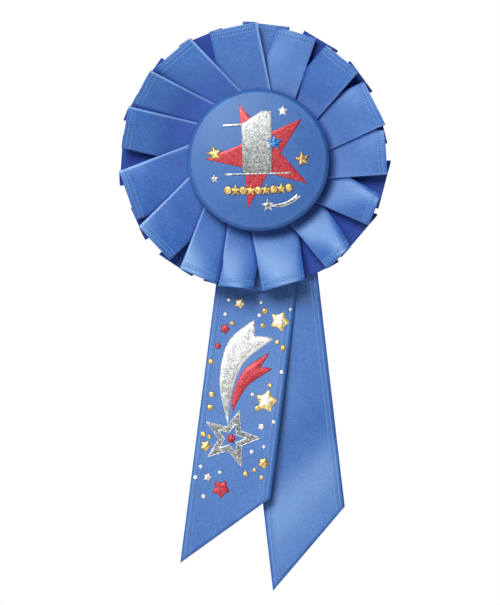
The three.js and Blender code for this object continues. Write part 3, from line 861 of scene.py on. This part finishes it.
def make_button_padding():
    """A thin foam pad, crowned and pulled in at its rim, between the cover and the shell."""
    low, high = box_mm("button_padding")
    outer = (high.x - low.x) / 2
    shoulder = outer - SHOULDER_INSET
    thickness, rim_y = 1.0, high.y - 0.5
    front = [(shoulder * i / 14, low.y + DOME_RISE * (i / 14) ** DOME_POWER) for i in range(15)]
    for i in range(1, 7):
        angle = math.pi / 2 * i / 6
        front.append((
            shoulder + SHOULDER_INSET * math.sin(angle),
            low.y + DOME_RISE + SHOULDER_DEPTH * (1 - math.cos(angle)),
        ))
    front.append((outer - 0.05, rim_y))
    rear = [(max(r - thickness, 0.0), y + thickness * (1 - 0.6 * r / outer)) for r, y in front[:-2]]
    rear.append((outer - thickness, rim_y))
    profile = front + [(outer - thickness / 2, high.y - 0.1)] + rear[::-1]
    profile[0] = (TIP_RADIUS, profile[0][1])
    profile[-1] = (TIP_RADIUS, profile[-1][1])
    pad = turned("button_foam_pad", profile, BUTTON_CENTRE, 96, PADDING_FOAM)
    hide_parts("button_padding")


def on_button(across, up, lift):
    """Where a print on the button goes, from across and up from the button's centre."""
    radius = math.hypot(across, up)
    y = dome_y(radius) - COVER_THICKNESS / 2 - lift
    return Vector((BUTTON_CENTRE[0] + across, y, BUTTON_CENTRE[1] + up))


# ------------ printed and embossed shapes


def straight_sided(corners, steps):
    """An outline through corners, each side in steps so that it can follow a curved surface."""
    outline = []
    for i, corner in enumerate(corners):
        start, end = Vector(corner), Vector(corners[(i + 1) % len(corners)])
        outline += [mix(start, end, j / steps) for j in range(steps)]
    return outline


def star(centre, radius, first_point, waist, steps=4):
    """A five-pointed star's outline; first_point is the direction of one point, in degrees."""
    tips = []
    for i in range(10):
        reach = radius if i % 2 == 0 else radius * waist
        tips.append(Vector(centre) + polar(reach, first_point + 180 * i / 5))
    return straight_sided(tips, steps)


def softened(outline, rounds):
    """An outline with its corners rounded by averaging each point with its neighbours."""
    count = len(outline)
    for _ in range(rounds):
        neighbours = [(outline[i - 1], outline[(i + 1) % count]) for i in range(count)]
        outline = [(a + 2 * point + b) / 4 for point, (a, b) in zip(outline, neighbours)]
    return outline


def dot(centre, radius, steps=16):
    return [Vector(centre) + polar(radius, 360 * i / steps) for i in range(steps)]


def raised(bm, outline, surface, base, height, rings):
    """Adds a closed raised shape: rings are (scale about the middle, share of the height) pairs."""
    centre = sum(outline, Vector((0, 0))) / len(outline)
    loops = []
    for scale, rise in rings:
        loop = []
        for point in outline:
            spot = mix(centre, point, scale)
            loop.append(bm.verts.new(surface(spot.x, spot.y, base + height * rise)))
        loops.append(loop)
    for lower, upper in zip(loops, loops[1:]):
        bridge(bm, lower, upper)
    bm.faces.new(loops[0][::-1])
    peak = bm.verts.new(surface(centre.x, centre.y, base + height * rings[-1][1]))
    last = loops[-1]
    for i, vertex in enumerate(last):
        bm.faces.new([vertex, last[(i + 1) % len(last)], peak])


# the sections of raised shapes: flat sheet, padded and domed, as raised() has its rings
SHEET_RINGS = [(1, 0), (1, 0.7), (0.985, 1), (0.85, 1), (0.68, 1), (0.5, 1), (0.32, 1), (0.15, 1)]
PUFFY_RINGS = [(1, 0), (1, 0.25), (0.9, 0.6), (0.74, 0.85), (0.5, 1), (0.25, 1.05)]
DOT_RINGS = [(1, 0), (1, 0.3), (0.9, 0.62), (0.7, 0.88), (0.4, 1)]


def prints(name, outlines, surface, material, base, height, rings=PUFFY_RINGS):
    bm = bmesh.new()
    for outline in outlines:
        raised(bm, outline, surface, base, height, rings)
    finished(name, bm, material)


def curve_through(points, share):
    """A point on a Catmull-Rom curve through the given points."""
    last = len(points) - 1
    at = min(share * last, last - 1e-6)
    i = int(at)
    t = at - i
    p0, p1, p2, p3 = (Vector(points[min(max(n, 0), last)]) for n in (i - 1, i, i + 1, i + 2))
    return 0.5 * (2 * p1 + (p2 - p0) * t + (2 * p0 - 5 * p1 + 4 * p2 - p3) * t * t
                  + (3 * p1 - p0 - 3 * p2 + p3) * t ** 3)


RIM_RISE = 0.35  # of a tail's edge, as a share of its height


def swoosh(name, tail, surface, material, base, height, inset=0.0):
    """A curved raised tail between two edge curves, with a swallow-tail notch in its wide end."""
    steps, ribs = 34, 8
    bm = bmesh.new()
    grid = []
    for i in range(steps + 1):
        line = []
        for j in range(ribs + 1):
            side = mix(inset, 1 - inset, j / ribs)
            cut = 1 - tail["notch"] * (1 - abs(2 * side - 1))
            # an inset tail stops 0.6 of its inset short of the notched end
            along = (inset + (1 - 1.6 * inset) * i / steps) * cut
            ends = (curve_through(tail[edge], along) for edge in ("left", "right"))
            line.append(mix(*ends, side))
        grid.append(line)

    def layer(lift, rim_lift):
        vertices = []
        for i, line in enumerate(grid):
            vertices.append([])
            for j, point in enumerate(line):
                rim = j in (0, ribs) or i in (0, steps)
                spot = surface(point.x, point.y, rim_lift if rim else lift)
                vertices[-1].append(bm.verts.new(spot))
        return vertices

    top = layer(base + height, base + height * RIM_RISE)
    foot = layer(base, base)
    for i in range(steps):
        for j in range(ribs):
            for side in (top, foot):
                bm.faces.new([side[i][j], side[i + 1][j], side[i + 1][j + 1], side[i][j + 1]])
    for i in range(steps):
        for j in (0, ribs):
            bm.faces.new([top[i][j], top[i + 1][j], foot[i + 1][j], foot[i][j]])
    for j in range(ribs):
        for i in (0, steps):
            bm.faces.new([top[i][j], top[i][j + 1], foot[i][j + 1], foot[i][j]])
    finished(name, bm, material)


# a band's section: places from its outer edge to its inner one, and shares of its height
BAND_LEVELS = [(0, 0), (0.04, 0.75), (0.16, 1), (0.84, 1), (0.96, 0.75), (1, 0)]


def band(bm, outer, inner, surface, base, height):
    """Adds a raised closed band between two outlines with the same number of points."""
    loops = []
    for side, rise in BAND_LEVELS:
        spots = [mix(p, q, side) for p, q in zip(outer, inner)]
        loops.append([bm.verts.new(surface(*spot, base + height * rise)) for spot in spots])
    for n, loop in enumerate(loops):
        bridge(bm, loop, loops[(n + 1) % len(loops)])


# the button's print, in millimetres across and up from the button's centre
RED_STAR = {"centre": (0.55, 1.57), "radius": 17.0, "first_point": 112.8, "waist": 0.37}
NUMERAL_STEM = [(-4.8, -4.1), (4.3, -4), (4, 15), (1, 15), (-5.3, 10.9)]
NUMERAL_BARS = [
    [(-11.2, 10.15), (-4.9, 10.5), (-4.9, 11.2), (-11.2, 10.75)],
    [(-10.3, -4.85), (10.2, -4.3), (10.2, -3.75), (-10.3, -4.3)],
]
BUTTON_TAIL = {
    "left": [(3.6, -13.9), (6.8, -13.4), (9.8, -12.2), (12.1, -10.1)],
    "right": [(3.6, -14.3), (7.2, -14.5), (10.8, -13), (13.3, -10.9)],
    "notch": 0.16,
}
BEAD_ROW = {"first": (-9.4, -9.4), "last": (9.4, -8.6), "sag": 0.4, "count": 9, "radius": 1.25}


def make_button_print():
    """A red star, a silver numeral, small stars and a row of gold beads."""
    bars = [straight_sided(bar, 12) for bar in NUMERAL_BARS]
    gold = [star((-13.5, 1.8), 2.7, 102, 0.46), star((13.5, 0.2), 2.5, 102, 0.46)]
    silver = [star((-13.5, -5.9), 1.5, 95, 0.48), star((2.9, -14.0), 2.2, 95, 0.46)]
    heart = [star((2.9, -14.0), 1.3, 95, 0.46)]
    # each print's name, outlines, material, foot over the cloth, height and section
    for name, outlines, *how in (
        ("red_star", [star(**RED_STAR, steps=10)], RED_GLITTER, 0.02, 0.16, SHEET_RINGS),
        ("numeral", [straight_sided(NUMERAL_STEM, 12)], NUMERAL_GLITTER, 0.02, 0.4, SHEET_RINGS),
        ("numeral_bars", bars, SILVER_FOIL, 0.02, 0.45),
        ("blue_star", [star((4.9, 5.2), 2.9, 90, 0.45)], BLUE_GLITTER, 0.1, 0.6),
        ("gold_stars", gold, GOLD_FOIL, 0.12, 0.65),
        ("white_star", [star((7.5, 15.0), 1.75, 88, 0.52)], WHITE_FOIL, 0.02, 0.4),
        ("silver_stars", silver, SILVER_FOIL, 0.02, 0.5),
        ("silver_star_heart", heart, DARK_GLITTER, 0.3, 0.3),
    ):
        prints(f"print_{name}", outlines, on_button, *how)
    swoosh("print_silver_tail_border", BUTTON_TAIL, on_button, WHITE_FOIL, 0.02, 0.3)
    swoosh("print_silver_tail", BUTTON_TAIL, on_button, DARK_GLITTER, 0.02, 0.36, inset=0.13)
    beads = []
    for i in range(BEAD_ROW["count"]):
        share = i / (BEAD_ROW["count"] - 1)
        at = mix(Vector(BEAD_ROW["first"]), Vector(BEAD_ROW["last"]), share)
        at.y -= BEAD_ROW["sag"] * 4 * share * (1 - share)
        if i % 2:
            beads.append(star(at, 1.6 * BEAD_ROW["radius"], 90, 0.45))
        else:
            beads.append(dot(at, BEAD_ROW["radius"], 20))
    prints("print_gold_beads", beads, on_button, GOLD_FOIL, 0.15, 0.6, DOT_RINGS)


# the left streamer's print, in millimetres across from its middle line: dots and small stars (and
# their radii) down from its top, and the big star and the tails up from it
SILVER_DOTS = [
    (-8, 58.5), (2, 58), (11.3, 59), (-8.5, 63), (2, 62), (11, 78.5), (3, 86.5),
    (10.5, 94), (8.5, 102), (5, 104), (-10, 110.5), (-4, 111.5), (-11.2, 114),
    (-8, 119.5),
]
GOLD_DOTS = [
    (3.5, 60.5), (-6, 65.5), (3.5, 65), (8.5, 69.5), (10.5, 71), (-11, 78), (8, 83),
    (-9.5, 88), (-9.5, 92), (5, 90.5), (-10.5, 100.5), (-8.5, 101), (6.5, 109.5),
    (4, 111), (9, 111.5),
]
RED_DOTS = [(-9.5, 73)]
PALE_STARS = [(-4.5, 59, 1.9), (8.5, 63, 3.3), (7.5, 88, 3.7)]
GOLD_STARS = [(-9.3, 104, 1.9), (9, 107, 1.9)]
RED_STARS = [(-8, 67.5, 1.7), (-3, 116.5, 3)]
SILVER_STARS = [(7, 96, 1.4), (-7.5, 113.5, 1.5)]
BIG_STAR = {"centre": (-1.8, -100.8), "first_point": 81, "waist": 0.42}
BIG_STAR_RADIUS = 9.3
BIG_STAR_HOLE = 0.48  # as a share of its radius
SILVER_TAIL = {
    "left": [(-3.5, -96.3), (-7.6, -84), (-6.6, -71.5), (0.5, -63.5)],
    "right": [(-3.3, -96.3), (-3.4, -87.5), (-0.8, -77), (7.5, -68.5)],
    "notch": 0.13,
}
RED_TAIL = {
    "left": [(-2.5, -92.2), (-3, -87), (-0.3, -79), (6.5, -73)],
    "right": [(-2.3, -92.2), (-1, -88.5), (1.6, -83.5), (8, -78)],
    "notch": 0.16,
}


def make_streamer_print():
    """Tails, an outlined star and a scatter of stars and dots down the left streamer."""
    for name, tail, border, glitter, lift in (
        ("silver", SILVER_TAIL, WHITE_FOIL, SILVER_GLITTER, 0.02),
        ("red", RED_TAIL, RED_GLITTER, RED_GLITTER, 0.06),
    ):
        swoosh(f"streamer_{name}_tail_border", tail, on_streamer, border, lift, 0.12)
        swoosh(f"streamer_{name}_tail", tail, on_streamer, glitter, lift, 0.2, inset=0.09)

    def big_star(scale):
        return star(radius=BIG_STAR_RADIUS * scale, steps=8, **BIG_STAR)

    for name, edges, material, height in (
        ("big_star", [(1.0, BIG_STAR_HOLE)], DARK_GLITTER, 0.16),
        ("big_star_lines", [(1.0, 0.95), (BIG_STAR_HOLE + 0.06, BIG_STAR_HOLE)], WHITE_FOIL, 0.26),
    ):
        bm = bmesh.new()
        for outer, inner in edges:
            band(bm, big_star(outer), big_star(inner), on_streamer, 0.06, height)
        finished(f"streamer_{name}", bm, material)

    turn = random.Random(11)
    for name, spots, material in (
        ("pale_stars", PALE_STARS, PALE_GOLD),
        ("gold_stars", GOLD_STARS, GOLD_FOIL),
        ("red_stars", RED_STARS, RED_GLITTER),
        ("silver_stars", SILVER_STARS, SILVER_FOIL),
    ):
        outlines = [star((x, -y), 1.1 * r, 72 + turn.uniform(-14, 14), 0.52) for x, y, r in spots]
        if name == "red_stars":
            outlines.append(star(BIG_STAR["centre"], 1.9, 85, 0.48))
        outlines = [softened(outline, 3) for outline in outlines]
        prints(f"streamer_{name}", outlines, on_streamer, material, 0.02, 0.45)
        if name == "pale_stars":
            hearts = [
                [mix(Vector((x, -y)), point, 0.58) for point in outline]
                for outline, (x, y, _) in zip(outlines, spots)
            ]
            prints("streamer_pale_star_hearts", hearts, on_streamer, CREAM_FOIL, 0.25, 0.3)
    for name, spots, material, largest in (
        ("gold_dots", GOLD_DOTS, GOLD_FOIL, 0.95),
        ("silver_dots", SILVER_DOTS, WHITE_FOIL, 0.7),
        ("red_dots", RED_DOTS, RED_GLITTER, 0.95),
    ):
        outlines = [dot((x, -y), turn.uniform(0.75, 1) * largest) for x, y in spots]
        prints(f"streamer_{name}", outlines, on_streamer, material, 0.02, 0.42, DOT_RINGS)


# ------------ studio

VIEW_MIDDLE = (-1.2, -10.0, -52.8)
VIEW_HEIGHT = 186.3
CAMERA_DISTANCE = 1600
SENSOR = 36
FLOOR_DEPTH = 110  # of the floor below the tips of the streamers
FLOOR_RADIUS = 1600
SKY = {"below": 0.0, "above": 0.1}  # strength of the light from the sky


def make_camera():
    data = bpy.data.cameras.new("camera")
    data.sensor_width = SENSOR
    data.lens = SENSOR * CAMERA_DISTANCE / VIEW_HEIGHT
    data.clip_end = 20
    camera = placed("camera", data)
    camera.location = mm(VIEW_MIDDLE[0], VIEW_MIDDLE[1] - CAMERA_DISTANCE, VIEW_MIDDLE[2])
    camera.rotation_euler = (math.pi / 2, 0, 0)
    bpy.context.scene.camera = camera


def make_light(name, place, size, power):
    data = bpy.data.lights.new(name, "AREA")
    data.shape = "DISK"
    data.size = size / 1000
    data.energy = power
    light = placed(name, data)
    light.location = mm(*place)
    aim = mm(*VIEW_MIDDLE) - light.location
    light.rotation_euler = aim.to_track_quat("-Z", "Y").to_euler()


def make_world():
    """A white backdrop, and light that is stronger from above than from below."""
    world = bpy.data.worlds.new("studio")
    world.use_nodes = True
    tree = world.node_tree
    new, link = tree.nodes.new, tree.links.new
    seen = tree.nodes["Background"]
    seen.inputs["Color"].default_value = (1, 1, 1, 1)
    lighting = new("ShaderNodeBackground")
    direction = new("ShaderNodeSeparateXYZ")
    height = new("ShaderNodeMapRange")
    height.inputs["From Min"].default_value = -0.8
    height.inputs["To Min"].default_value = SKY["below"]
    height.inputs["To Max"].default_value = SKY["above"]
    choice = new("ShaderNodeMixShader")
    link(new("ShaderNodeTexCoord").outputs["Generated"], direction.inputs[0])
    link(direction.outputs["Z"], height.inputs["Value"])
    link(height.outputs[0], lighting.inputs["Strength"])
    link(new("ShaderNodeLightPath").outputs["Is Camera Ray"], choice.inputs[0])
    link(lighting.outputs[0], choice.inputs[1])
    link(seen.outputs[0], choice.inputs[2])
    link(choice.outputs[0], tree.nodes["World Output"].inputs["Surface"])
    return world


def make_studio():
    bpy.context.scene.world = make_world()
    bpy.context.scene.view_settings.view_transform = "Standard"
    make_light("key", (-440, -1290, 740), 860, 32)
    make_light("back_soft", (700, 1300, 700), 900, 14)
    make_light("side_left", (-1500, 500, 300), 700, 6)
    make_light("side_right", (1500, 500, 300), 700, 6)

    bm = bmesh.new()
    bmesh.ops.create_circle(bm, cap_ends=True, radius=FLOOR_RADIUS / 1000, segments=96)
    mesh = bpy.data.meshes.new("floor")
    bm.to_mesh(mesh)
    bm.free()
    mesh.materials.append(make_floor_paint())
    floor = placed("floor", mesh)
    floor.location.z = cad_box[0].z - FLOOR_DEPTH / 1000


# ------------ assembly

finish_cad_nodes()
make_ruffle()
# the left streamer carries a painted shadow of the ruffle at its top
make_streamer("streamer_left_ribbon", "streamer_left", LEFT_STREAMER, left_wave, 0.25)
make_streamer("streamer_right_ribbon", "streamer_right", RIGHT_STREAMER, right_wave, 0.0)
make_button_padding()
make_button_cover()
make_button_print()
make_streamer_print()
make_camera()
make_studio()
